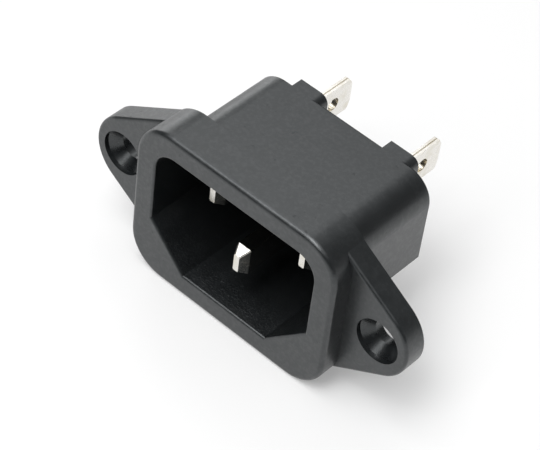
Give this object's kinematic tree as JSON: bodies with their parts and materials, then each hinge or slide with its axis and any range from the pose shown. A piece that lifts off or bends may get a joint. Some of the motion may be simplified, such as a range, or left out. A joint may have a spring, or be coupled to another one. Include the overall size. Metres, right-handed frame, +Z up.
{
  "type": "panel mount appliance inlet socket",
  "caption": "Screw-mount panel inlet socket with a six-sided plug cavity, flat blades inside and push-on tabs behind.",
  "frame": {"origin": "midway between the two screw holes, on the flange's rear face, which meets the panel", "axes": "+X to the right seen from the front, along the line of the screws; +Y into the panel; +Z up, away from the earth blade"},
  "size_m": [0.0484, 0.0285, 0.0229],
  "materials": {
    "moulding": "fine satin grain, black",
    "contact_plating": "bright nickel plating over brass"
  },
  "bodies": {
    "root": {"housing": "moulding", "left_terminal": "contact_plating", "right_terminal": "contact_plating", "earth_terminal": "contact_plating"}
  },
  "joints": []
}
